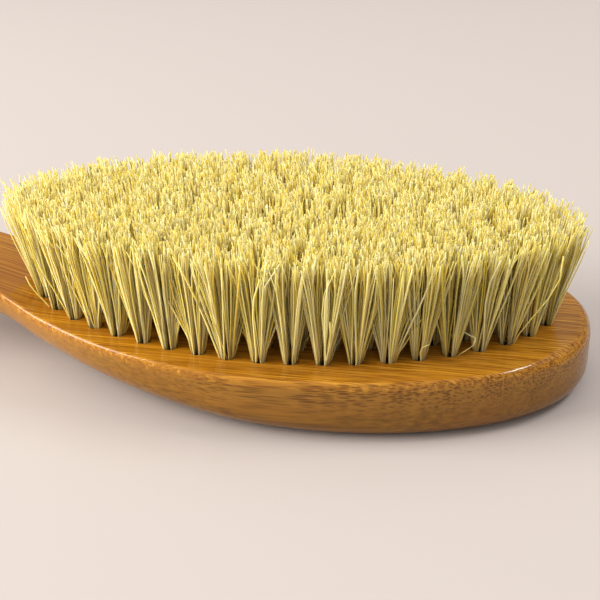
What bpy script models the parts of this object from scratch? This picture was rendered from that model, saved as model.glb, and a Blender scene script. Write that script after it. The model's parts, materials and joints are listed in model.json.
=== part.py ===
"""Long-handled body brush: a lacquered bamboo paddle set with tufts of plant fibre.

Frame: origin on the resting plane under the middle of the brush, +X from the handle's end to the
head's free end, +Y across, +Z up. The brush lies on its back with the fibres up. Metres.

The paddle is one piece of bamboo. Blind holes are bored in its top in nested ovals. Each hole
holds one tuft, folded in half over a flat wire staple that runs across the brush (along Y), so
that the tuft's two halves stand apart along X and meet above the staple.
"""
import math

import bmesh
import bpy
import numpy as np
from mathutils import Matrix, Vector

MM = 0.001

# --- driving dimensions -------------------------------------------------------------------------
LENGTH = 390 * MM            # free end of the head to the end of the handle
THICKNESS = 13.5 * MM        # of the head at its free end
HEAD_A = 65.6 * MM           # head oval, half length towards the free end
NECK_A = 64.5 * MM           # and towards the handle
HEAD_B = 36.5 * MM           # head oval, half width
HEAD_POWER = 2.2             # fullness of the oval at the free end
SHOULDER_POWER = 1.66        # and where it runs into the handle
NECK_HALF = 11.5 * MM        # half width at the neck
NECK_FLARE = 2.0 * MM        # the neck is this much wider each side as it enters the head
NECK_FLARE_RUN = 65 * MM     # and takes this long to widen
NECK_FILLET = 10 * MM        # softness of the inner corner between the head and the neck
GRIP_HALF = 14.5 * MM        # half width near the handle's end
GRIP_REACHED = 5 / 6         # reached at this share of the handle
END_LENGTH = 1.2             # the handle's end is this many half widths long
ARRIS_HEAD = 0.7 * MM        # rounding of the top edge along the head's sides
ARRIS_FREE = 2.6 * MM        # at its free end
ARRIS_FREE_RUN = 18 * MM
ARRIS_GRIP = 4.0 * MM        # and round the handle
ARRIS_GRIP_RUN = 60 * MM
BACK_ROUND = 5.0 * MM        # rounding of the back edge at the free end
BACK_ROUND_ACROSS = 9.5 * MM  # which widens towards the neck to this, measured across
BACK_ROUND_UP = 8.0 * MM     # and this, measured upwards
BACK_ROUND_RUN = 85 * MM
THINNING = 3.7 * MM          # the paddle gets this much thinner from the head to the handle
BOW = 18 * MM                # the handle bows up by this much between the head and its end
BOW_SOFTNESS = 0.015         # how gently the bow begins, as a share of the handle
BOW_LEAN = 0.75              # below 1 the crest stands nearer the head
BOW_NARROWNESS = 1.3         # above 1 the crest is narrower
HANG_HOLE_R = 5 * MM
HANG_HOLE_INSET = 16 * MM    # its centre, from the end of the handle

RING_A = 56.5 * MM           # outermost oval of holes, half length
RING_B = 28.8 * MM           # and half width
RING_POWERS = (1.78, 1.85, 2.0, 2.4, 4.0)   # fullness of the ovals, from the outermost in
RING_STEP_X = 6.6 * MM       # each oval of holes is this much shorter than the one round it
RING_STEP_Y = 6.3 * MM       # and this much narrower
HOLES_PER_RING = (42, 34, 28, 22, 16)
HOLE_R = 1.6 * MM
HOLE_DEPTH = 8 * MM

TUFT_HEIGHT = 22.5 * MM      # trimmed tips above the wood
FIT_GAP = 0.35 * MM          # clearance between pieces that touch
SPLAY_X = 2.5 * MM           # the outermost tips stand this much further out at the ends
SPLAY_Y = 1.0 * MM           # and at the sides
INNER_TIP_ACROSS = 2.2 * MM  # half width of an inner tuft's tip, towards the next oval
TIP_MINGLE = 1.3 * MM        # how far an inner tuft reaches past the middle to the next one
EDGE_WAIST_UP = 9 * MM       # an edge tuft has this half section at this height
EDGE_WAIST = (2.4 * MM, 2.1 * MM)
EDGE_TIP = (3.1 * MM, 2.75 * MM)

STAPLED = 13                 # how many of the front tufts show their staple as its own piece
STAPLE_WIRE = 0.5 * MM
STAPLE_SPAN = 2.3 * MM
STAPLE_DEPTH = 2.2 * MM
STAPLE_SUNK = 0.6 * MM       # top of the staple below the wood's face
NOTCH_RISE = 4.0 * MM        # the two halves of a tuft meet this high above the wood

# --- derived places -----------------------------------------------------------------------------
HEAD_X = LENGTH / 2 - HEAD_A               # centre of the head
HANDLE_END = -LENGTH / 2
HEAD_TAIL = HEAD_X - NECK_A                # where the oval would close, under the neck
NECK_FLARE_START = HEAD_TAIL - 45 * MM
ARRIS_FREE_START = HEAD_X + 44 * MM
BACK_ROUND_START = HEAD_X + 20 * MM
BOW_START = HEAD_X - 53 * MM
THINNING_START = HEAD_X + 30 * MM           # the back is flat from here to the free end
THINNING_END = HEAD_X - 65 * MM
TOP = THICKNESS


def new_collection(name):
    """A collection of the scene."""
    collection = bpy.data.collections.new(name)
    bpy.context.scene.collection.children.link(collection)
    return collection


def make_material(name, colour, roughness, metallic=0.0):
    """A plain Principled material."""
    material = bpy.data.materials.new(name)
    material.use_nodes = True
    shader = material.node_tree.nodes["Principled BSDF"]
    shader.inputs["Base Color"].default_value = (*colour, 1.0)
    shader.inputs["Roughness"].default_value = roughness
    shader.inputs["Metallic"].default_value = metallic
    return material


def object_from(bm, name, collection, material=None):
    """Turn a bmesh into an object of the collection."""
    bmesh.ops.recalc_face_normals(bm, faces=bm.faces)
    mesh = bpy.data.meshes.new(name)
    bm.to_mesh(mesh)
    bm.free()
    made = bpy.data.objects.new(name, mesh)
    collection.objects.link(made)
    if material is not None:
        mesh.materials.append(material)
    return made


def as_cutter(made):
    """Keep an object as a guide that only Booleans use."""
    made.hide_render = True
    made.display_type = "WIRE"
    return made


def ease(t):
    """0 to 1 with level ends."""
    t = min(max(t, 0.0), 1.0)
    return t * t * (3.0 - 2.0 * t)


# --- paddle -------------------------------------------------------------------------------------
def half_width(x):
    """Half width from the middle of the head to the grip: the oval and the bar in one line."""
    u = min((HEAD_X - x) / NECK_A, 1.0)
    oval = HEAD_B * (1.0 - u**SHOULDER_POWER) ** (1.0 / SHOULDER_POWER)
    along = (HEAD_TAIL - x) / (HEAD_TAIL - HANDLE_END)
    bar = NECK_HALF + (GRIP_HALF - NECK_HALF) * ease(along / GRIP_REACHED)
    bar += NECK_FLARE * ease((x - NECK_FLARE_START) / NECK_FLARE_RUN)
    overlap = max(NECK_FILLET - abs(oval - bar), 0.0) / NECK_FILLET
    return max(oval, bar) + overlap**2 * NECK_FILLET / 4


def outline():
    """The paddle's outline seen from above, anticlockwise from the free end."""
    side = []
    for angle in np.radians(np.linspace(0, 90, 17)):
        u = math.cos(angle) ** (2 / HEAD_POWER)
        v = math.sin(angle) ** (2 / HEAD_POWER)
        side.append((HEAD_X + HEAD_A * u, HEAD_B * v))
    grip_x = HANDLE_END + END_LENGTH * GRIP_HALF
    stations = np.concatenate([
        np.linspace(HEAD_X - 7 * MM, HEAD_TAIL - 3 * MM, 14),
        np.linspace(HEAD_TAIL - 10 * MM, HEAD_TAIL - 50 * MM, 5),
        np.linspace(HEAD_TAIL - 80 * MM, grip_x, 6),
    ])
    side += [(x, half_width(x)) for x in stations]
    end_half = half_width(grip_x)
    for angle in np.radians(np.linspace(0, 90, 8))[1:]:
        side.append((grip_x - (grip_x - HANDLE_END) * math.sin(angle), end_half * math.cos(angle)))
    near = [(x, -y) for x, y in reversed(side[1:-1])]
    return np.array(side + near)


def thinning(x):
    """How far the back has risen towards the top at x."""
    return THINNING * ease((THINNING_START - x) / (THINNING_START - THINNING_END))


def rim_profile(x):
    """Insets and heights of the edge at x, from the flat of the back up to the flat of the top."""
    arris = ARRIS_HEAD + (ARRIS_GRIP - ARRIS_HEAD) * ease((HEAD_TAIL - x) / ARRIS_GRIP_RUN)
    arris += (ARRIS_FREE - ARRIS_HEAD) * ease((x - ARRIS_FREE_START) / ARRIS_FREE_RUN)
    softer = ease((BACK_ROUND_START - x) / BACK_ROUND_RUN)
    across = BACK_ROUND + (BACK_ROUND_ACROSS - BACK_ROUND) * softer
    upwards = BACK_ROUND + (BACK_ROUND_UP - BACK_ROUND) * softer
    low = thinning(x)
    upwards = min(upwards, THICKNESS - low - arris - FIT_GAP)
    back = [(across * (1 - math.sin(t)), low + upwards * (1 - math.cos(t)))
            for t in np.linspace(0, math.pi / 2, 5)]
    top = [(arris * (1 - math.cos(t)), THICKNESS - arris * (1 - math.sin(t)))
           for t in np.linspace(0, math.pi / 2, 3)]
    return np.array(back + top)


def bow(x):
    """How far the handle is lifted at x: a hump that ends with the handle's back on the table.

    Over the last two thirds of the handle the thinning is taken away from the lift.
    """
    along = (BOW_START - x) / (BOW_START - HANDLE_END)
    soft = (along + math.hypot(along, BOW_SOFTNESS)) / 2
    hump = math.sin(math.pi * min(soft, 1.0) ** BOW_LEAN) ** BOW_NARROWNESS
    return BOW * hump - THINNING * ease(along * 1.5 - 0.5)


def slice_at(bm, x, faces):
    """Cut some of the faces by the plane across the brush at x."""
    edges = {edge for face in faces for edge in face.edges}
    verts = {vert for face in faces for vert in face.verts}
    bmesh.ops.bisect_plane(bm, geom=list(verts) + list(edges) + list(faces),
                           plane_co=(x, 0, 0), plane_no=(1, 0, 0))


def paddle_blank(collection, material):
    """The paddle before boring: an edge carried round the outline, closed by the two faces."""
    points = outline()
    before = np.roll(points, 1, axis=0)
    after = np.roll(points, -1, axis=0)
    tangent = after - before
    tangent /= np.linalg.norm(tangent, axis=1)[:, None]
    inward = np.stack([-tangent[:, 1], tangent[:, 0]], axis=1)
    bm = bmesh.new()
    rings = []
    for point, normal in zip(points, inward):
        places = [(*(point + inset * normal), height) for inset, height in rim_profile(point[0])]
        rings.append([bm.verts.new(place) for place in places])
    for ring, following in zip(rings, rings[1:] + rings[:1]):
        for low in range(len(ring) - 1):
            bm.faces.new((ring[low], following[low], following[low + 1], ring[low + 1]))
    bm.faces.new([ring[-1] for ring in rings])
    bm.faces.new([ring[0] for ring in reversed(rings)])
    bm.normal_update()
    for x in np.linspace(THINNING_START, BOW_START + 10 * MM, 7):
        slice_at(bm, x, [face for face in bm.faces if face.normal.z < -0.9 and len(face.verts) > 8])
    for x in np.linspace(BOW_START + 4 * MM, HANDLE_END + 8 * MM, 24):
        slice_at(bm, x, bm.faces[:])
    bmesh.ops.remove_doubles(bm, verts=bm.verts, dist=0.02 * MM)
    for vert in bm.verts:
        vert.co.z += bow(vert.co.x)
    return object_from(bm, "paddle", collection, material)


def cut(target, cutter):
    """Subtract one object from another."""
    modifier = target.modifiers.new("cut_" + cutter.name, "BOOLEAN")
    modifier.operation = "DIFFERENCE"
    modifier.object = cutter
    modifier.solver = "EXACT"


# --- pattern of holes ---------------------------------------------------------------------------
def oval_points(a, b, power, count, phase):
    """Points at equal steps of length round a superellipse centred on the head."""
    angle = np.linspace(0, 2 * math.pi, 1441)
    cos, sin = np.cos(angle), np.sin(angle)
    x = a * np.sign(cos) * np.abs(cos) ** (2 / power)
    y = b * np.sign(sin) * np.abs(sin) ** (2 / power)
    length = np.concatenate([[0], np.cumsum(np.hypot(np.diff(x), np.diff(y)))])
    wanted = (np.arange(count) + phase) / count * length[-1]
    return np.stack([np.interp(wanted, length, x), np.interp(wanted, length, y)], axis=1)


def hole_rings():
    """For each oval, the centres of its holes relative to the middle of the head."""
    rings = []
    for index, count in enumerate(HOLES_PER_RING):
        a = RING_A - index * RING_STEP_X
        b = RING_B - index * RING_STEP_Y
        rings.append(oval_points(a, b, RING_POWERS[index], count, 0.5))
    return rings


# --- tufts --------------------------------------------------------------------------------------
def tuft_mesh(base, along, sides, widths, bm):
    """Add one tuft to a bmesh: a bundle that is straight in its hole and opens as it rises.

    Its foot follows the wood, and its tip is trimmed level with all the others.
    base is its hole's centre, along the direction of its oval there. widths lists, from the fold
    up, the height above the wood and the half widths along and across the oval.
    """
    tip_shift = Vector((base[0] / RING_A * SPLAY_X, base[1] / RING_B * SPLAY_Y, 0))
    tangent = Vector((along[0], along[1], 0)).normalized()
    normal = Vector((-tangent.y, tangent.x, 0))
    foot = Vector((HEAD_X + base[0], base[1], TOP))
    lift = Vector((0, 0, bow(foot.x)))
    rings = []
    for height, half_along, half_across in widths:
        risen = max(height / TUFT_HEIGHT, 0)
        centre = foot + Vector((0, 0, height)) + tip_shift * risen + lift * (1 - risen)
        ring = []
        for step in range(sides):
            turn = 2 * math.pi * step / sides
            place = centre + tangent * half_along * math.cos(turn)
            ring.append(bm.verts.new(place + normal * half_across * math.sin(turn)))
        rings.append(ring)
    for lower, upper in zip(rings, rings[1:]):
        for step in range(sides):
            after = (step + 1) % sides
            bm.faces.new((lower[step], lower[after], upper[after], upper[step]))
    bm.faces.new(list(reversed(rings[0])))
    bm.faces.new(rings[-1])


def ring_direction(ring, index):
    """Direction of the oval at one of its holes."""
    step = ring[(index + 1) % len(ring)] - ring[index - 1]
    return step / np.linalg.norm(step)


def edge_tufts(ring, parts, material):
    """The outermost oval: each tuft its own piece. Returns them in order."""
    in_hole = HOLE_R * math.cos(math.pi / 8) - FIT_GAP
    fold = -(HOLE_DEPTH - FIT_GAP)
    widths = [
        (fold, 0.6 * in_hole, 0.6 * in_hole),
        (fold + 0.8 * MM, in_hole, in_hole),
        (0, in_hole, in_hole),
        (EDGE_WAIST_UP, *EDGE_WAIST),
        (TUFT_HEIGHT, *EDGE_TIP),
    ]
    made = []
    for index, base in enumerate(ring):
        bm = bmesh.new()
        tuft_mesh(base, ring_direction(ring, index), 8, widths, bm)
        made.append(object_from(bm, f"edge_tuft_{index + 1:02d}", parts, material))
    return made


def inner_ring(number, ring, parts, material):
    """An inner oval of tufts, whose fibres mingle at the tips and so make one body."""
    in_hole = HOLE_R * math.cos(math.pi / 6) - FIT_GAP
    fold = -(HOLE_DEPTH - FIT_GAP)
    others = new_collection(f"tufts_of_ring_{number}")
    first = None
    for index, base in enumerate(ring):
        beside = (ring[index - 1], ring[(index + 1) % len(ring)])
        reach = max(np.linalg.norm(base - other) for other in beside) / 2 + TIP_MINGLE
        widths = [
            (fold, in_hole, in_hole),
            (0, in_hole, in_hole),
            (TUFT_HEIGHT, reach, INNER_TIP_ACROSS),
        ]
        bm = bmesh.new()
        tuft_mesh(base, ring_direction(ring, index), 6, widths, bm)
        if first is None:
            first = object_from(bm, f"inner_tufts_ring_{number}", parts, material)
        else:
            as_cutter(object_from(bm, f"ring_{number}_tuft_{index + 1:02d}", others))
    union = first.modifiers.new("mingle", "BOOLEAN")
    union.operation = "UNION"
    union.operand_type = "COLLECTION"
    union.collection = others
    union.solver = "EXACT"
    return first


def box_at(name, centre, size, collection, material=None):
    """A box by its centre and size."""
    bm = bmesh.new()
    bmesh.ops.create_cube(bm, size=1.0)
    bmesh.ops.scale(bm, vec=size, verts=bm.verts)
    made = object_from(bm, name, collection, material)
    made.location = centre
    return made


def staples(ring, tufts, parts, cutters, material):
    """Flat wire staples of the front tufts, each in a notch of its tuft."""
    front = sorted(range(len(ring)), key=lambda index: ring[index][1])[:STAPLED]
    for index in front:
        x = HEAD_X + ring[index][0]
        y = ring[index][1]
        wood = TOP + bow(x)
        top = wood - STAPLE_SUNK
        box_at(f"staple_{index + 1:02d}", (x, y, top - STAPLE_DEPTH / 2),
               (STAPLE_WIRE, STAPLE_SPAN, STAPLE_DEPTH), parts, material)
        low = top - STAPLE_DEPTH - FIT_GAP
        high = wood + NOTCH_RISE
        notch = box_at(f"notch_{index + 1:02d}", (x, y, (low + high) / 2),
                       (STAPLE_WIRE + 2 * FIT_GAP, 4 * HOLE_R, high - low), cutters)
        cut(tufts[index], as_cutter(notch))


def bore(paddle, rings, cutters):
    """Bore the blind holes and the hanging hole."""
    bm = bmesh.new()
    for number, ring in enumerate(rings):
        sides = 8 if number == 0 else 6
        for index, base in enumerate(ring):
            turn = math.atan2(*reversed(ring_direction(ring, index)))
            x = HEAD_X + base[0]
            middle = Matrix.Translation((x, base[1], TOP + bow(x) - HOLE_DEPTH / 2 + 1 * MM))
            bmesh.ops.create_cone(bm, cap_ends=True, segments=sides, radius1=HOLE_R, radius2=HOLE_R,
                                  depth=HOLE_DEPTH + 2 * MM,
                                  matrix=middle @ Matrix.Rotation(turn + math.pi / 2, 4, "Z"))
    cut(paddle, as_cutter(object_from(bm, "tuft_holes", cutters)))
    bm = bmesh.new()
    bmesh.ops.create_cone(bm, cap_ends=True, segments=20, radius1=HANG_HOLE_R, radius2=HANG_HOLE_R,
                          depth=4 * THICKNESS,
                          matrix=Matrix.Translation((HANDLE_END + HANG_HOLE_INSET, 0, 0)))
    cut(paddle, as_cutter(object_from(bm, "hanging_hole", cutters)))


def clear_scene():
    """Remove whatever the scene holds."""
    for old in list(bpy.data.objects):
        bpy.data.objects.remove(old, do_unlink=True)


def main():
    clear_scene()
    parts = new_collection("body_brush")
    cutters = new_collection("cutters")
    bamboo = make_material("lacquered_bamboo", (0.50, 0.24, 0.06), 0.3)
    fibre = make_material("sisal_fibre", (0.80, 0.70, 0.36), 0.65)
    wire = make_material("staple_wire", (0.30, 0.28, 0.25), 0.4, 0.9)
    rings = hole_rings()
    paddle = paddle_blank(parts, bamboo)
    bore(paddle, rings, cutters)
    tufts = edge_tufts(rings[0], parts, fibre)
    staples(rings[0], tufts, parts, cutters, wire)
    for number, ring in enumerate(rings[1:], start=2):
        inner_ring(number, ring, parts, fibre)


main()
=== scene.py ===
# %% [markdown]
# # A long-handled body brush
# The brush is a bamboo paddle set with tufts of plant fibre, lying on its back with the fibres up.
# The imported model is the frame: it says where each part lies, and everything below is made round it.
# This lesson builds the paddle as one smooth lofted surface with real bored holes, every fibre of
# every tuft as a thin bent rod, and the finishes: lacquered bamboo, straw-coloured fibre, dull wire.

# %% Load the frame
import json
import math

import bmesh
import bpy
import numpy as np
from mathutils import Matrix, Vector


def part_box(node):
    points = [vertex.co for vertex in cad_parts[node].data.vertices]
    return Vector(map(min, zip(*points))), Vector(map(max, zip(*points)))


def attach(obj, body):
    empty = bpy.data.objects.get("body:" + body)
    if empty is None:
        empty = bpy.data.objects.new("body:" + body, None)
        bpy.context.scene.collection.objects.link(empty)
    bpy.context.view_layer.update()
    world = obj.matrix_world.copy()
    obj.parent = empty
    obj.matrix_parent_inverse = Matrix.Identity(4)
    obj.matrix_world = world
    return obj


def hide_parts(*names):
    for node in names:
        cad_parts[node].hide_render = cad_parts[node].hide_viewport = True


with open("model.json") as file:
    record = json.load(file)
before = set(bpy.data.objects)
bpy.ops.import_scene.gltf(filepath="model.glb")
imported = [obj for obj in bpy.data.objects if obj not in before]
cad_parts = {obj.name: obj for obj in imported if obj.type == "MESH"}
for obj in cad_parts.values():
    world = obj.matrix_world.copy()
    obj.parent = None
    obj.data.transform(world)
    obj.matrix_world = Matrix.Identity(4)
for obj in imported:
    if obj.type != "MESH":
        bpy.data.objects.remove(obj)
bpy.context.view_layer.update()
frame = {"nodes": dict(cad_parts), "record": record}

# %% [markdown]
# ## Places and sizes
# The record's flat face lies on the head's back, 40 mm from the middle of the head towards its free
# end, and the paddle's box gives both ends of the brush. The remaining numbers are the brush's own
# driving sizes: the ovals of the head and of the rows of tufts, the depth of the holes, and how far
# the trimmed tips stand above the wood.

# %% Driving sizes
MM = 0.001
MOUNT_FORWARD = 40 * MM
head_x = frame["record"]["mounts"][0]["pos_m"][0] - MOUNT_FORWARD
paddle_low, paddle_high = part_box("paddle")
handle_end = paddle_low[0]
HEAD_A, HEAD_B = paddle_high[0] - head_x, paddle_high[1]
NECK_A = 64.5 * MM
head_tail = head_x - NECK_A
THICKNESS = 13.5 * MM
HEAD_POWER, SHOULDER_POWER = 2.2, 1.66
NECK_HALF, NECK_FILLET = 11.5 * MM, 10 * MM
NECK_FLARE, NECK_FLARE_START, NECK_FLARE_RUN = 2.0 * MM, head_tail - 45 * MM, 65 * MM
GRIP_HALF, GRIP_REACHED, END_LENGTH = 14.5 * MM, 5 / 6, 1.2
LEAST_SIDE = 0.35 * MM
ARRIS_HEAD, ARRIS_FREE, ARRIS_GRIP = 0.7 * MM, 2.6 * MM, 4.0 * MM
ARRIS_FREE_START, ARRIS_FREE_RUN, ARRIS_GRIP_RUN = head_x + 44 * MM, 18 * MM, 60 * MM
BACK_ROUND, BACK_ROUND_ACROSS, BACK_ROUND_UP = 5.0 * MM, 9.5 * MM, 8.0 * MM
BACK_ROUND_START, BACK_ROUND_RUN = head_x + 20 * MM, 85 * MM
THINNING, THINNING_START, THINNING_END = 3.7 * MM, head_x + 30 * MM, head_x - 65 * MM
BOW, BOW_START = 18 * MM, head_x - 53 * MM
BOW_SOFTNESS, BOW_LEAN, BOW_NARROWNESS = 0.015, 0.75, 1.3
HANG_HOLE_R, HANG_HOLE_INSET = 5 * MM, 16 * MM
RING_A, RING_B = 56.5 * MM, 28.8 * MM
RING_STEP_X, RING_STEP_Y = 6.6 * MM, 6.3 * MM
RING_POWERS = (1.78, 1.85, 2.0, 2.4, 4.0)
HOLES_PER_RING = (42, 34, 28, 22, 16)
HOLE_R, HOLE_DEPTH = 1.6 * MM, 8 * MM
TUFT_HEIGHT = 22.5 * MM
LEAN_X, LEAN_Y = 1.3 * MM, 0.8 * MM
print("head centre", head_x, "handle end", handle_end, "head half sizes", HEAD_A, HEAD_B)

# %% [markdown]
# ## Camera, floor and light
# The brush is seen from the front and a little to the right, from about 26 degrees above the table,
# with a short telephoto lens. The floor is plain and pale. A wide window hangs above and behind, a
# stronger one stands low on the left, and a long narrow one high on the right draws the thin bright
# line on the lacquered edge. A pale sky, brightest overhead and towards the front left, fills the
# shadows.

# %% Camera
LOOK_AZIMUTH, LOOK_ELEVATION, ROLL = math.radians(11.3), math.radians(26.2), math.radians(-0.9)
DISTANCE, SIDE_SHIFT, UP_SHIFT = 265 * MM, 2.8 * MM, -0.7 * MM
SENSOR_WIDTH, LENS_PER_WIDTH = 36, 2.0

overhead = Vector((0, 0, 1))
right = Vector((math.cos(LOOK_AZIMUTH), math.sin(LOOK_AZIMUTH), 0))
level = Vector((-math.sin(LOOK_AZIMUTH), math.cos(LOOK_AZIMUTH), 0))
forward = level * math.cos(LOOK_ELEVATION) - overhead * math.sin(LOOK_ELEVATION)
upward = level * math.sin(LOOK_ELEVATION) + overhead * math.cos(LOOK_ELEVATION)
rolled_right = right * math.cos(ROLL) + upward * math.sin(ROLL)
rolled_up = upward * math.cos(ROLL) - right * math.sin(ROLL)
target = Vector((head_x, 0, THICKNESS)) + right * SIDE_SHIFT + upward * UP_SHIFT
lens = bpy.data.cameras.new("camera")
lens.sensor_width = SENSOR_WIDTH
lens.lens = SENSOR_WIDTH * LENS_PER_WIDTH
lens.clip_start = 0.01
camera = bpy.data.objects.new("camera", lens)
turn = Matrix((rolled_right, rolled_up, -forward)).transposed().to_4x4()
camera.matrix_world = Matrix.Translation(target - forward * DISTANCE) @ turn
bpy.context.scene.collection.objects.link(camera)
bpy.context.scene.camera = camera
print("camera at", tuple(round(c, 4) for c in camera.location), "lens", lens.lens)

# %% [markdown]
# ### A small language for shaders
# A finish is arithmetic on patterns, so it reads best as arithmetic. `Value` wraps one number
# socket, and each operator adds the Math node that it stands for. `Finish` holds one material and
# adds any other node from its type, its settings and its inputs.

# %% Socket wrapper and node helper
class Value:
    """A number socket whose operators add Math nodes to its tree."""

    def __init__(self, finish, socket):
        self.finish = finish
        self.socket = socket

    def _math(self, operation, other):
        made = self.finish.node("ShaderNodeMath", {"operation": operation}, {0: self, 1: other})
        return Value(self.finish, made.outputs[0])

    def __add__(self, other):
        return self._math("ADD", other)

    def __radd__(self, other):
        return self + other

    def __mul__(self, other):
        return self._math("MULTIPLY", other)

    def __rmul__(self, other):
        return self * other

    def __sub__(self, other):
        return self._math("SUBTRACT", other)

    def __rsub__(self, other):
        return self * -1 + other

    def step(self, low, high):
        """0 below low, 1 above high, and a smooth slope between."""
        made = self.finish.node("ShaderNodeMapRange", {"interpolation_type": "SMOOTHSTEP"},
                                {0: self, 1: low, 2: high, 3: 0.0, 4: 1.0})
        return Value(self.finish, made.outputs[0])


class Finish:
    """One material and the tools that fill its node tree."""

    def __init__(self, name, **constants):
        self.material = bpy.data.materials.new(name)
        self.material.use_nodes = True
        self.tree = self.material.node_tree
        self.shader = self.tree.nodes["Principled BSDF"]
        for socket, value in constants.items():
            self.shader.inputs[socket.replace("_", " ")].default_value = value

    def node(self, kind, settings=None, inputs=None):
        """Add a node, set its settings, then set or link its inputs by name or number."""
        made = self.tree.nodes.new(kind)
        for key, value in (settings or {}).items():
            setattr(made, key, value)
        for key, value in (inputs or {}).items():
            self.put(made.inputs[key], value)
        return made

    def put(self, socket, value):
        """Give a socket a constant or a link."""
        if isinstance(value, Value):
            value = value.socket
        if isinstance(value, bpy.types.NodeSocket):
            self.tree.links.new(value, socket)
        elif isinstance(value, tuple) and len(value) == 3 and socket.type == "RGBA":
            socket.default_value = (*value, 1.0)
        else:
            socket.default_value = value

    def feed(self, socket, value):
        """Feed one of the shader's own sockets."""
        self.put(self.shader.inputs[socket], value)

    def scaled(self, vector, *scale):
        """A vector with each axis multiplied by its own scale."""
        made = self.node("ShaderNodeMapping", None, {"Vector": vector, "Scale": scale})
        return made.outputs[0]

    def parts(self, vector):
        """The three numbers of a vector."""
        made = self.node("ShaderNodeSeparateXYZ", None, {0: vector})
        return [Value(self, output) for output in made.outputs]

    def noise(self, vector, detail=2.0, roughness=0.5):
        """Soft noise from about 0.2 to 0.8."""
        made = self.node("ShaderNodeTexNoise", None, {
            "Vector": vector, "Scale": 1.0, "Detail": detail, "Roughness": roughness})
        return Value(self, made.outputs[0])

    def cells(self, vector, randomness):
        """Distance to the nearest of a scatter of points, one for each unit cell."""
        made = self.node("ShaderNodeTexVoronoi", {"feature": "F1"}, {
            "Vector": vector, "Scale": 1.0, "Randomness": randomness})
        return Value(self, made.outputs["Distance"])

    def mix(self, factor, first, second):
        """Blend two colours: the first at factor 0, the second at factor 1."""
        made = self.node("ShaderNodeMix", {"data_type": "RGBA"}, {0: factor, 6: first, 7: second})
        return made.outputs[2]

    def bump(self, height, distance, strength):
        """Tilt the normals as if the surface rose by height times distance."""
        made = self.node("ShaderNodeBump", None, {
            "Height": height, "Distance": distance, "Strength": strength})
        self.feed("Normal", made.outputs[0])


def srgb(red, green, blue):
    """Screen colour from 0 to 255, as the linear colour that shaders use."""
    screen = np.array((red, green, blue)) / 255
    linear = np.where(screen <= 0.04045, screen / 12.92, ((screen + 0.055) / 1.055) ** 2.4)
    return tuple(float(c) for c in linear)


print("shader helpers ready")

# %% Floor
FLOOR_HALF_WIDTH, FLOOR_NEAR, FLOOR_FAR = 3, -1.2, 6

corners = [(-FLOOR_HALF_WIDTH, FLOOR_NEAR, 0), (FLOOR_HALF_WIDTH, FLOOR_NEAR, 0),
           (FLOOR_HALF_WIDTH, FLOOR_FAR, 0), (-FLOOR_HALF_WIDTH, FLOOR_FAR, 0)]
floor_mesh = bpy.data.meshes.new("floor")
floor_mesh.from_pydata(corners, [], [(0, 1, 2, 3)])
floor = bpy.data.objects.new("floor", floor_mesh)
bpy.context.scene.collection.objects.link(floor)
pale = Finish("pale_floor", Base_Color=(*srgb(198, 189, 185), 1), Roughness=0.7, Specular_IOR_Level=0.1)
floor_mesh.materials.append(pale.material)
print("floor", len(floor_mesh.polygons), "face")

# %% Light
DAYLIGHT, WARM_DAYLIGHT, SKY_COLOUR = (1.0, 0.98, 0.95), (1.0, 0.96, 0.90), (1.0, 0.985, 0.96, 1)
SKY_BRIGHT_SIDE = (-0.34, -0.30, 0.84)
SKY_LOW, SKY_HIGH = -0.2, 0.9
SKY_DARK, SKY_BRIGHT = 0.25, 0.83
head = Vector((head_x, 0, THICKNESS))


def window(name, away, size, power, colour):
    """A rectangular soft light that faces the head from the given distance along each axis."""
    light = bpy.data.lights.new(name, "AREA")
    light.shape = "RECTANGLE"
    light.size, light.size_y = size
    light.energy = power
    light.color = colour
    lamp = bpy.data.objects.new(name, light)
    lamp.location = head + Vector(away)
    lamp.rotation_euler = (-Vector(away)).to_track_quat("-Z", "Y").to_euler()
    bpy.context.scene.collection.objects.link(lamp)


def pale_sky():
    """A world whose strength rises with the direction's dot product with the bright side."""
    sky = bpy.data.worlds.new("sky")
    sky.use_nodes = True
    links, nodes = sky.node_tree.links, sky.node_tree.nodes
    direction = nodes.new("ShaderNodeTexCoord")
    slope = nodes.new("ShaderNodeVectorMath")
    slope.operation = "DOT_PRODUCT"
    slope.inputs[1].default_value = SKY_BRIGHT_SIDE
    ramp = nodes.new("ShaderNodeMapRange")
    for number, amount in enumerate((SKY_LOW, SKY_HIGH, SKY_DARK, SKY_BRIGHT), start=1):
        ramp.inputs[number].default_value = amount
    links.new(direction.outputs["Generated"], slope.inputs[0])
    links.new(slope.outputs["Value"], ramp.inputs[0])
    links.new(ramp.outputs[0], nodes["Background"].inputs["Strength"])
    nodes["Background"].inputs["Color"].default_value = SKY_COLOUR
    return sky


window("roof_window", away=(-0.10, 0.50, 1.15), size=(0.9, 0.9), power=1.7, colour=DAYLIGHT)
window("left_window", away=(-0.88, -0.28, 0.36), size=(0.62, 0.62), power=14.6, colour=WARM_DAYLIGHT)
window("small_window", away=(0.655, 0.20, 0.95), size=(0.48, 0.09), power=4.5, colour=DAYLIGHT)
bpy.context.scene.world = pale_sky()
bpy.context.scene.view_settings.view_transform = "Standard"
print("three windows and a sky")

# %% [markdown]
# ## The paddle
# On the real brush the paddle is one piece of bamboo, sawn to its outline, with a small rounding
# round the top edge and a large one under the back. It could be an extruded outline with a bevel,
# but a bevel has one width, and this edge softens from the head to the grip. So the surface is a
# function of two parameters: how far along the brush, and how far round the section. The section
# leans out along the outline's own normal, which keeps the rounding even round the oval's end.

# %% Outline and section formulas
SAMPLES = 400


def ease(t):
    """0 to 1 with level ends: 3t^2 - 2t^3."""
    t = np.clip(t, 0, 1)
    return t * t * (3 - 2 * t)


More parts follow.
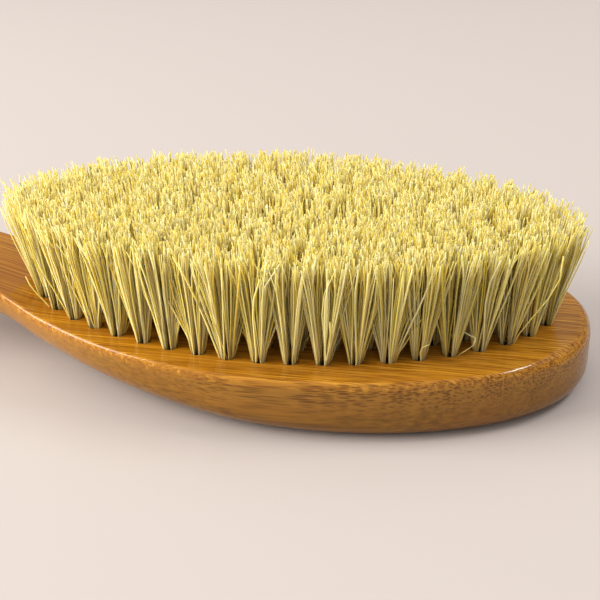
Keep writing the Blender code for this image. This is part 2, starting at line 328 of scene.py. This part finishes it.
def half_width(x):
    """Half width from the head's middle to the grip: the larger of the superellipse and the bar.

    The bar flares towards the head, and where the two are close a fillet of
    overlap^2 * NECK_FILLET / 4 is added to the larger.
    """
    u = np.clip((head_x - x) / NECK_A, 0, 1)
    oval = HEAD_B * (1 - u**SHOULDER_POWER) ** (1 / SHOULDER_POWER)
    along = (head_tail - x) / (head_tail - handle_end)
    bar = NECK_HALF + (GRIP_HALF - NECK_HALF) * ease(along / GRIP_REACHED)
    bar += NECK_FLARE * ease((x - NECK_FLARE_START) / NECK_FLARE_RUN)
    overlap = np.maximum(NECK_FILLET - np.abs(oval - bar), 0) / NECK_FILLET
    return np.maximum(oval, bar) + overlap**2 * NECK_FILLET / 4


def along_line(line, length, wanted):
    """Points of a line at the wanted lengths, where length is the length run at each of its points."""
    return np.stack([np.interp(wanted, length, line[:, 0]), np.interp(wanted, length, line[:, 1])], axis=1)


def half_outline(count):
    """Points at equal steps of length along one side, from the free end to the handle's end.

    The free end is the superellipse by angle, the middle is half_width by x, and the handle's
    end is a quarter of an ellipse.
    """
    angle = np.linspace(0, math.pi / 2, SAMPLES)
    front = np.stack([head_x + HEAD_A * np.cos(angle) ** (2 / HEAD_POWER),
                      HEAD_B * np.sin(angle) ** (2 / HEAD_POWER)], axis=1)
    grip_x = handle_end + END_LENGTH * GRIP_HALF
    x = np.linspace(head_x, grip_x, 5 * SAMPLES)[1:]
    middle = np.stack([x, half_width(x)], axis=1)
    angle = np.linspace(0, math.pi / 2, SAMPLES // 2)[1:]
    end = np.stack([grip_x - (grip_x - handle_end) * np.sin(angle),
                    middle[-1, 1] * np.cos(angle)], axis=1)
    line = np.concatenate([front, middle, end])
    length = np.concatenate([[0], np.cumsum(np.hypot(*np.diff(line, axis=0).T))])
    return along_line(line, length, np.linspace(0, length[-1], count))


def thinning(x):
    """How far the back has risen towards the top at x: an eased ramp from the head to the neck."""
    return THINNING * ease((THINNING_START - x) / (THINNING_START - THINNING_END))


def bow(x):
    """Lift of the handle at x: BOW * sin(pi s^lean)^narrowness, with s running softly from 0.

    Over the last two thirds of the handle the lift sinks by the thinning, so that the back meets
    the table at the end.
    """
    along = (BOW_START - x) / (BOW_START - handle_end)
    soft = (along + np.hypot(along, BOW_SOFTNESS)) / 2
    hump = np.sin(math.pi * np.clip(soft, 0, 1) ** BOW_LEAN) ** BOW_NARROWNESS
    return BOW * hump - THINNING * ease(along * 1.5 - 0.5)


print("half width at the middle of the head", float(half_width(np.array(head_x))))

# %% Paddle surface
def grid_faces(rows, columns):
    """Quads of a grid that is open along its rows and closed round its columns."""
    row, column = np.meshgrid(np.arange(rows - 1), np.arange(columns), indexing="ij")
    after = (column + 1) % columns
    corners = (row * columns + column, row * columns + after,
               (row + 1) * columns + after, (row + 1) * columns + column)
    return np.stack(corners, axis=-1).reshape(-1, 4)


def put_mesh(name, points, faces, smooth=True):
    """A mesh object from arrays of points and faces, both as numpy arrays."""
    mesh = bpy.data.meshes.new(name)
    mesh.vertices.add(len(points))
    mesh.vertices.foreach_set("co", np.asarray(points, np.float32).ravel())
    mesh.loops.add(faces.size)
    mesh.loops.foreach_set("vertex_index", faces.astype(np.int32).ravel())
    mesh.polygons.add(len(faces))
    mesh.polygons.foreach_set("loop_start", np.arange(len(faces), dtype=np.int32) * faces.shape[1])
    mesh.polygons.foreach_set("use_smooth", np.full(len(faces), smooth))
    mesh.update(calc_edges=True)
    made = bpy.data.objects.new(name, mesh)
    bpy.context.scene.collection.objects.link(made)
    return made


def paddle_grid(stations=330, rim_steps=9, flat_steps=6):
    """Grid of points: along the brush by round the section.

    One half of the section is the back's flat, the back's quarter round, the side and the top's
    quarter round, each point set in from the outline along its normal. The top's and the back's
    flats run straight across to the mirrored half.
    """
    line = half_outline(stations)
    slope = np.gradient(line, axis=0)
    slope[0], slope[-1] = (0, 1), (0, -1)
    slope /= np.hypot(*slope.T)[:, None]
    inward = np.stack([-slope[:, 1], slope[:, 0]], axis=1)
    arris = ARRIS_HEAD + (ARRIS_GRIP - ARRIS_HEAD) * ease((head_tail - line[:, 0]) / ARRIS_GRIP_RUN)
    arris += (ARRIS_FREE - ARRIS_HEAD) * ease((line[:, 0] - ARRIS_FREE_START) / ARRIS_FREE_RUN)
    softer = ease((BACK_ROUND_START - line[:, 0]) / BACK_ROUND_RUN)
    across = BACK_ROUND + (BACK_ROUND_ACROSS - BACK_ROUND) * softer
    low = thinning(line[:, 0])
    upwards = BACK_ROUND + (BACK_ROUND_UP - BACK_ROUND) * softer
    upwards = np.minimum(upwards, THICKNESS - low - arris - LEAST_SIDE)
    turn = np.linspace(0, math.pi / 2, rim_steps)
    back_inset = across[:, None] * (1 - np.sin(turn))
    back_height = low[:, None] + upwards[:, None] * (1 - np.cos(turn))
    top_inset = arris[:, None] * (1 - np.cos(turn))
    top_height = THICKNESS - arris[:, None] * (1 - np.sin(turn))
    inset = np.concatenate([back_inset, top_inset], axis=1)
    height = np.concatenate([back_height, top_height], axis=1)
    place = line[:, None] + inset[..., None] * inward[:, None]
    half = np.concatenate([place, height[..., None]], axis=-1)
    other = half * (1, -1, 1)
    share = np.linspace(0, 1, flat_steps + 2)[1:-1][None, :, None]
    top = half[:, -1:] * (1 - share) + other[:, -1:] * share
    back = other[:, :1] * (1 - share) + half[:, :1] * share
    section = np.concatenate([half, top, other[:, ::-1], back], axis=1)
    section[..., 2] += bow(section[..., 0])
    return section


SAME_POINT = 0.005 * MM
surface = paddle_grid()
blank = put_mesh("paddle_blank", surface.reshape(-1, 3), grid_faces(*surface.shape[:2]))
form = bmesh.new()
form.from_mesh(blank.data)
bmesh.ops.remove_doubles(form, verts=form.verts, dist=SAME_POINT)
bmesh.ops.recalc_face_normals(form, faces=form.faces)
open_edges = sum(not edge.is_manifold for edge in form.edges)
form.to_mesh(blank.data)
form.free()
print("paddle blank", len(blank.data.polygons), "faces,", open_edges, "open edges")

# %% [markdown]
# ### Boring the holes
# The real head is drilled: nested ovals of blind holes, one for each tuft. Dark discs would do from
# far off, but they lie flat where the fibres part, so every hole is cut. The places follow a rule,
# so they are worked out again here as in the frame: equal steps of length round each oval.

# %% Hole pattern
def oval_points(a, b, power, count):
    """count points at equal steps of length round the superellipse |x/a|^power + |y/b|^power = 1."""
    angle = np.linspace(0, 2 * math.pi, 4 * 360 + 1)
    cos, sin = np.cos(angle), np.sin(angle)
    x = a * np.sign(cos) * np.abs(cos) ** (2 / power)
    y = b * np.sign(sin) * np.abs(sin) ** (2 / power)
    length = np.concatenate([[0], np.cumsum(np.hypot(np.diff(x), np.diff(y)))])
    wanted = (np.arange(count) + 0.5) / count * length[-1]
    return along_line(np.stack([x, y], axis=1), length, wanted)


rings = [oval_points(RING_A - k * RING_STEP_X, RING_B - k * RING_STEP_Y, RING_POWERS[k], count)
         for k, count in enumerate(HOLES_PER_RING)]
holes = np.concatenate(rings)
print(len(holes), "holes in", len(rings), "ovals")

# %% Bore them
def prisms(centres, radius, low, high, sides):
    """Closed upright prisms: ring points are centre + radius (cos, sin), with a cap at each end."""
    angle = np.arange(sides) * 2 * math.pi / sides
    circle = np.stack([np.cos(angle), np.sin(angle)], axis=1) * radius
    flat = np.asarray(centres)[:, None, None] + circle[None, None]
    flat = np.broadcast_to(flat, (len(centres), 2, sides, 2))
    ends = np.empty((len(centres), 2))
    ends[:, 0], ends[:, 1] = low, high
    height = np.broadcast_to(ends[:, :, None, None], (len(centres), 2, sides, 1))
    points = np.concatenate([flat, height], axis=-1).reshape(-1, 3)
    side = np.arange(sides)
    after = (side + 1) % sides
    wall = np.stack([side, after, after + sides, side + sides], axis=1)
    start = np.arange(len(centres))[:, None, None] * 2 * sides
    walls = (start + wall[None]).reshape(-1, 4)
    caps = np.concatenate([start[:, 0] + side[::-1], start[:, 0] + side + sides])
    return points, walls.tolist() + caps.tolist()


def cutter(name, points, faces):
    """An object that only cuts."""
    mesh = bpy.data.meshes.new(name)
    mesh.from_pydata(points.tolist(), [], faces)
    made = bpy.data.objects.new(name, mesh)
    bpy.context.scene.collection.objects.link(made)
    return made


def carve(target, tool):
    """Cut a tool out of an object for good, and remove the tool."""
    modifier = target.modifiers.new("carve", "BOOLEAN")
    modifier.operation = "DIFFERENCE"
    modifier.solver = "EXACT"
    modifier.object = tool
    seen = target.evaluated_get(bpy.context.evaluated_depsgraph_get())
    done = bpy.data.meshes.new_from_object(seen)
    target.modifiers.clear()
    target.data = done
    bpy.data.objects.remove(tool, do_unlink=True)


HOLE_SIDES, HANG_HOLE_SIDES = 20, 64
DRILL_OVER, HANG_DRILL_LOW, HANG_DRILL_HIGH = 2 * MM, -10 * MM, 30 * MM
SHARP_ANGLE = math.radians(35)

wood_top = THICKNESS + bow(holes[:, 0] + head_x)
drill = prisms(holes + (head_x, 0), HOLE_R, wood_top - HOLE_DEPTH, wood_top + DRILL_OVER, HOLE_SIDES)
carve(blank, cutter("drill", *drill))
hang_centre = np.array([[handle_end + HANG_HOLE_INSET, 0]])
hang_drill = prisms(hang_centre, HANG_HOLE_R, HANG_DRILL_LOW, HANG_DRILL_HIGH, HANG_HOLE_SIDES)
carve(blank, cutter("hanging_drill", *hang_drill))
blank.name = blank.data.name = "bamboo_paddle"
blank.data.shade_smooth()
blank.data.set_sharp_from_angle(angle=SHARP_ANGLE)
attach(blank, "root")
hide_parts("paddle")
print("bored paddle", len(blank.data.polygons), "faces")

# %% [markdown]
# ### Lacquered bamboo
# Bamboo is a bundle of long fibres in a paler ground. Cut along, they show as fine streaks and
# dashes, and cut across, at the head's end, as dark dots. An image could carry that, but it would
# smear round the edge. One solid pattern gives all of it: cells that are squeezed across the grain
# and drawn out along it. It bends with the handle, so each point carries its place in the straight
# board, in millimetres.

# %% Grain places
def carry(made, name, vectors):
    """Store a vector on each point of a mesh, for its finish to read."""
    carried = made.data.attributes.new(name, "FLOAT_VECTOR", "POINT")
    carried.data.foreach_set("vector", vectors.astype(np.float32).ravel())


grain = np.empty(len(blank.data.vertices) * 3)
blank.data.vertices.foreach_get("co", grain)
grain = grain.reshape(-1, 3)
grain[:, 2] -= bow(grain[:, 0])
carry(blank, "grain", grain / MM)
print("grain places on", len(grain), "points")

# %% [markdown]
# The patterns are noises stretched along the grain. The fibre bundles crowd towards the outer skin,
# here the top, and show most at the free end, where the saw has cut across them. The top face has
# fine lines side by side, and the flanks have thin layers one above another. Towards the grip the
# flanks are painted paler: painted light, as if light from the left falls on them there.

# %% Bamboo patterns
STREAKS, LAYERS, LINES, CLOUDS = (0.03, 1.5, 1.5), (0.025, 0.7, 4.5), (0.022, 4.2, 1.0), (0.01, 0.2, 0.3)
BUNDLES, BUNDLE_SCATTER = (0.11, 2.7, 2.3), 0.75
BUNDLE_GROWTH, FEWEST_BUNDLES = 0.16, 0.08
head_middle = head_x / MM

bamboo = Finish("lacquered_bamboo", Specular_IOR_Level=0.08, Coat_Weight=0.7,
                Coat_Roughness=0.05, Coat_IOR=1.45)
board = bamboo.node("ShaderNodeAttribute", {"attribute_name": "grain"}).outputs["Vector"]
forth, _, rise = bamboo.parts(board)
streak = bamboo.noise(bamboo.scaled(board, *STREAKS), detail=4.0, roughness=0.6)
layers, lines, clouds = (bamboo.noise(bamboo.scaled(board, *scale)) for scale in (LAYERS, LINES, CLOUDS))
upper = rise.step(10.5, 13.3)
# painted light: 1 towards the grip, where the flanks are painted paler as if lit from the left
grip_painted_light = 1 - forth.step(head_middle - 80, head_middle - 15)
free_end = forth.step(head_middle - 35, head_middle + 15)
skin = rise.step(4.0, 12.0) * (FEWEST_BUNDLES + (1 - FEWEST_BUNDLES) * free_end)
distance = bamboo.cells(bamboo.scaled(board, *BUNDLES), BUNDLE_SCATTER) - BUNDLE_GROWTH * skin
bundle = 1 - distance.step(0.12, 0.28)
halo = distance.step(0.28, 0.42) * skin
print("bamboo patterns", len(bamboo.tree.nodes), "nodes")

# %% [markdown]
# The colours go on from the ground up: flank and top, brown clouds, a paler ring round each bundle,
# brown and gold lines, and the dark bundles last. Clear lacquer lies over everything.

# %% Bamboo colours
# the grip flank colour is painted light: a paler flank where light from the left falls
FLANK_DARK, FLANK_PALE, FLANK_GRIP_PAINTED_LIGHT = srgb(108, 70, 8), srgb(148, 102, 22), srgb(200, 144, 68)
TOP_DARK, TOP_PALE = srgb(154, 90, 4), srgb(196, 134, 20)
BROWN_CLOUD, BROWN_LINE, GOLD_LINE = srgb(150, 96, 30), srgb(116, 66, 12), srgb(244, 180, 60)
BUNDLE_DARK, BUNDLE_HALO = srgb(96, 52, 12), srgb(206, 146, 56)

flank = bamboo.mix(streak.step(0.3, 0.7), FLANK_DARK, FLANK_PALE)
# painted light: the flanks are painted paler towards the grip, standing in for light from the left
flank = bamboo.mix(grip_painted_light * 0.65, flank, FLANK_GRIP_PAINTED_LIGHT)
top = bamboo.mix(streak.step(0.3, 0.7), TOP_DARK, TOP_PALE)
wood = bamboo.mix(upper, flank, top)
wood = bamboo.mix(clouds.step(0.35, 0.65) * 0.35, wood, BROWN_CLOUD)
wood = bamboo.mix(halo * 0.35, wood, BUNDLE_HALO)
fine = lines * upper + layers * (1 - upper)
wood = bamboo.mix(fine.step(0.53, 0.70) * 0.5, wood, BROWN_LINE)
wood = bamboo.mix((1 - lines.step(0.28, 0.46)) * upper * 0.65, wood, GOLD_LINE)
wood = bamboo.mix(bundle * (0.2 + 0.4 * skin), wood, BUNDLE_DARK)
bamboo.feed("Base Color", wood)
bamboo.feed("Roughness", 0.34 + streak * 0.12)
bamboo.bump(streak * 0.5 - bundle * 0.6, 0.02 * MM, 0.5)
blank.data.materials.clear()
blank.data.materials.append(bamboo.material)
print("bamboo", len(bamboo.tree.nodes), "nodes")

# %% [markdown]
# ## The tufts
# Each tuft is a bundle of stiff plant fibres folded in half over a staple that runs across the
# brush, so that two halves stand up side by side and fan out lengthwise. A hair system would be
# quick, but it leaves no mesh behind. Here each fibre is a thin four-sided rod, computed for the
# whole tuft at once: its foot somewhere in the hole, its tip spread wider and trimmed level. The
# outer tufts lean outwards a little. A few fibres stray, some are limp or short, and now and then
# one is curled.

# %% Fibre sizes
FIBRES, SEGMENTS, SIDES = 100, 5, 4
FOOT_ALONG, FOOT_ACROSS, FOOT_SPLIT, FOOT_SUNK = 0.42 * MM, 1.0 * MM, 0.44 * MM, 2.5 * MM
TIP_ALONG, TIP_ACROSS, TIP_SPLIT, TUFT_SWAY = 4.8 * MM, 3.8 * MM, 0.9 * MM, 0.35 * MM
STRAY_SHARE, STRAY, ORDERLY = 0.12, 2.1 * MM, 0.65 * MM
TRIM, TUFT_TRIM = 0.38 * MM, 0.12 * MM
SHORT_SHARE, SHORT_BY = 0.06, (0.5 * MM, 3.5 * MM)
CURLED_SHARE, CURLED_TOP, CURLED_BEND = 0.012, (4 * MM, 14 * MM), 2.5
BEND, LIMP_SHARE, LIMP_BEND = 0.45 * MM, 0.1, 3
WOOD_LEVEL, STRAIGHTNESS = 0.1, 0.85
FIBRE_RADIUS, FLATNESS, TAPER = (0.12 * MM, 0.25 * MM), (0.55, 0.9), 0.25
chance = np.random.default_rng(7)
station = np.linspace(0, 1, SEGMENTS + 1)[None, :, None]
print(FIBRES, "fibres in a tuft")

# %% Fibre formula
def some(share):
    """True for about this share of the fibres."""
    return chance.uniform(0, 1, FIBRES) < share


def spines(centre):
    """Points along the fibres of one tuft: fibre by station by xyz.

    Along a fibre t runs from 0 below the wood to 1 at the tip. Sideways its place is
    foot + (tip - foot) t (STRAIGHTNESS + (1 - STRAIGHTNESS) t), plus a bend 6.75 s^2 (1 - s), whose
    peak is 1, with s running from 0 at the wood to 1. Its height runs straight from foot to tip.
    """
    angle = chance.uniform(0, 2 * math.pi, FIBRES)
    radius = np.sqrt(chance.uniform(0, 1, FIBRES))
    disc = np.stack([np.cos(angle), np.sin(angle)], axis=1) * radius[:, None]
    half = np.sign(disc[:, :1]) * (1, 0)
    foot = disc * (FOOT_ALONG, FOOT_ACROSS) + half * FOOT_SPLIT
    tip = disc * (TIP_ALONG, TIP_ACROSS) + half * TIP_SPLIT
    wild = np.where(some(STRAY_SHARE), STRAY, ORDERLY)[:, None]
    tip += chance.normal(0, 1, (FIBRES, 2)) * wild
    tip += centre / (RING_A, RING_B) * (LEAN_X, LEAN_Y) + chance.normal(0, TUFT_SWAY, 2)
    top = TUFT_HEIGHT + chance.normal(0, TRIM, FIBRES) + chance.normal(0, TUFT_TRIM)
    top -= np.where(some(SHORT_SHARE), chance.uniform(*SHORT_BY, FIBRES), 0)
    curled = some(CURLED_SHARE)
    top = np.where(curled, chance.uniform(*CURLED_TOP, FIBRES), top)[:, None, None]
    bend = chance.normal(0, BEND, (FIBRES, 1, 2))
    bend *= np.where(curled, CURLED_BEND, np.where(some(LIMP_SHARE), LIMP_BEND, 1))[:, None, None]
    reach = station * (STRAIGHTNESS + (1 - STRAIGHTNESS) * station)
    free = np.maximum(station - WOOD_LEVEL, 0) / (1 - WOOD_LEVEL)
    side = foot[:, None] + (tip - foot)[:, None] * reach + bend * 6.75 * free**2 * (1 - free)
    low = bow(centre[0] + head_x) - FOOT_SUNK
    height = THICKNESS + low + (top - low) * station
    return np.concatenate([side + centre + (head_x, 0), height], axis=-1)


def rods(spine):
    """Points and faces of a thin rod round each spine.

    The section is a flattened square, radius (cos a, flatness sin a), turned at random. It
    shrinks towards the tip by the factor 1 - TAPER t^3.
    """
    radius = chance.uniform(*FIBRE_RADIUS, FIBRES)[:, None, None]
    flatness = chance.uniform(*FLATNESS, FIBRES)[:, None, None]
    turn = chance.uniform(0, math.pi, FIBRES)[:, None, None]
    corner = np.arange(SIDES) * 2 * math.pi / SIDES
    wide, narrow = np.cos(corner) * radius, np.sin(corner) * radius * flatness
    ring = np.stack([wide * np.cos(turn) - narrow * np.sin(turn),
                     wide * np.sin(turn) + narrow * np.cos(turn), np.zeros_like(wide)], axis=-1)
    points = spine[:, :, None] + ring * (1 - TAPER * station[..., None]**3)
    rows = SEGMENTS + 1
    bottom = np.arange(SIDES)[::-1][None]
    lid = (np.arange(SIDES) + SEGMENTS * SIDES)[None]
    faces = np.concatenate([grid_faces(rows, SIDES), bottom, lid])
    start = np.arange(FIBRES)[:, None, None] * rows * SIDES
    return points.reshape(-1, 3), (start + faces).reshape(-1, 4)


def strand_marks():
    """Each point's tone, place along its strand and hue, all from 0 to 1."""
    tone = chance.uniform(0, 1, FIBRES)[:, None, None]
    hue = chance.uniform(0, 1, FIBRES)[:, None, None]
    every_point = np.zeros((FIBRES, SEGMENTS + 1, SIDES))
    return np.stack([every_point + tone, every_point + station, every_point + hue], axis=-1)


print("one tuft has", FIBRES * (SEGMENTS * SIDES * 2 + 4), "triangles")

# %% [markdown]
# ### Straw-coloured fibre
# The fibres run from straw yellow to a whitish straw. Some are olive, a few are warm or dark, and
# each is painted a warm cream towards its root: a painted glow low in the tufts, where their shade falls.
# Every strand carries its own tone and hue, and how far up it a point is. An even colour with the
# light doing the rest would look like plastic. Light passes some way into real fibre, so the strands
# glow a little in one another's shade.

# %% Fibre finish
STRAW_YELLOW, STRAW_PALE, OLIVE = srgb(212, 181, 68), srgb(244, 228, 164), srgb(188, 178, 66)
# the root colour is a painted glow for light through the fibres in the tufts' shade
WARM_STRAND, ROOT_PAINTED_GLOW, DARK_STRAND = srgb(232, 180, 84), srgb(236, 206, 132), srgb(92, 96, 34)

straw = Finish("straw_fibre", Specular_IOR_Level=0.15, Subsurface_Weight=0.7,
               Subsurface_Radius=(1.0, 0.85, 0.4), Subsurface_Scale=0.8 * MM)
strand = straw.node("ShaderNodeAttribute", {"attribute_name": "strand"}).outputs["Vector"]
tone, run, hue = straw.parts(strand)
shade = straw.mix(tone, STRAW_YELLOW, STRAW_PALE)
shade = straw.mix(hue.step(0.70, 0.95) * 0.45, shade, OLIVE)
shade = straw.mix((1 - hue.step(0.04, 0.16)) * 0.25, shade, WARM_STRAND)
# painted glow: strands are painted a warm cream towards the root, standing in for light through the fibres
# in the tufts' shade
shade = straw.mix((1 - run.step(0.0, 0.6)) * 0.45, shade, ROOT_PAINTED_GLOW)
shade = straw.mix(hue.step(0.982, 0.990) * 0.8, shade, DARK_STRAND)
straw.feed("Base Color", shade)
straw.feed("Roughness", 0.5 + tone * 0.15)
print("straw", len(straw.tree.nodes), "nodes")

# %% Plant the tufts
def plant(name, centre, node):
    """One tuft as a piece that stands for its solid."""
    made = put_mesh(name, *rods(spines(centre)))
    carry(made, "strand", strand_marks())
    made.data.materials.append(straw.material)
    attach(made, "root")
    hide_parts(node)
    return made


planted = []
for number, ring in enumerate(rings, start=1):
    for k, centre in enumerate(ring, start=1):
        node = f"edge_tuft_{k:02d}" if number == 1 else f"inner_tufts_ring_{number}"
        planted.append(plant(f"fibres_{number}_{k:02d}", centre, node))
print(len(planted), "tufts,", sum(len(made.data.polygons) for made in planted), "faces")

# %% [markdown]
# ## The staples
# A flat wire anchors each tuft. It could be bent round the fold as a curve, but only its dark end
# shows, between the two halves, so a thin bar across the hole is enough. The thirteen at the front
# are parts of the frame and keep their shape, and the rest are made here in the same way. They are
# dull steel.

# %% Staples of the frame
SCRATCHES = 3 / MM
wire = Finish("dull_wire", Metallic=0.9)
solid_place = wire.node("ShaderNodeTexCoord").outputs["Object"]
scratch = wire.noise(wire.scaled(solid_place, SCRATCHES, SCRATCHES, SCRATCHES), detail=3.0)
wire.feed("Base Color", wire.mix(scratch.step(0.3, 0.7), srgb(70, 64, 56), srgb(120, 112, 100)))
wire.feed("Roughness", 0.35 + scratch * 0.2)
stapled = [name for name in frame["nodes"] if name.startswith("staple_")]
for name in stapled:
    node = frame["nodes"][name]
    node.data.materials.clear()
    node.data.materials.append(wire.material)
print(len(stapled), "staples of the frame")

# %% The other staples
STAPLE_WIRE, STAPLE_SPAN, STAPLE_DEPTH, STAPLE_SUNK = 0.5 * MM, 2.3 * MM, 2.2 * MM, 0.6 * MM
numbers = [int(name.split("_")[1]) - 1 for name in stapled]
others = np.delete(holes, numbers, axis=0) + (head_x, 0)
corner = np.array([(-1, -1), (1, -1), (1, 1), (-1, 1)]) * (STAPLE_WIRE / 2, STAPLE_SPAN / 2)
levels = bow(others[:, :1]) + THICKNESS - STAPLE_SUNK - np.array([STAPLE_DEPTH, 0])
flat = np.broadcast_to(others[:, None, None] + corner, (len(others), 2, 4, 2))
tall = np.broadcast_to(levels[:, :, None, None], (len(others), 2, 4, 1))
points = np.concatenate([flat, tall], axis=-1).reshape(-1, 3)
bar = np.array([(0, 1, 5, 4), (1, 2, 6, 5), (2, 3, 7, 6), (3, 0, 4, 7), (3, 2, 1, 0), (4, 5, 6, 7)])
bars = (np.arange(len(others))[:, None, None] * 8 + bar).reshape(-1, 4)
rest = put_mesh("other_staples", points, bars, smooth=False)
rest.data.materials.append(wire.material)
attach(rest, "root")
print(len(others), "more staples")
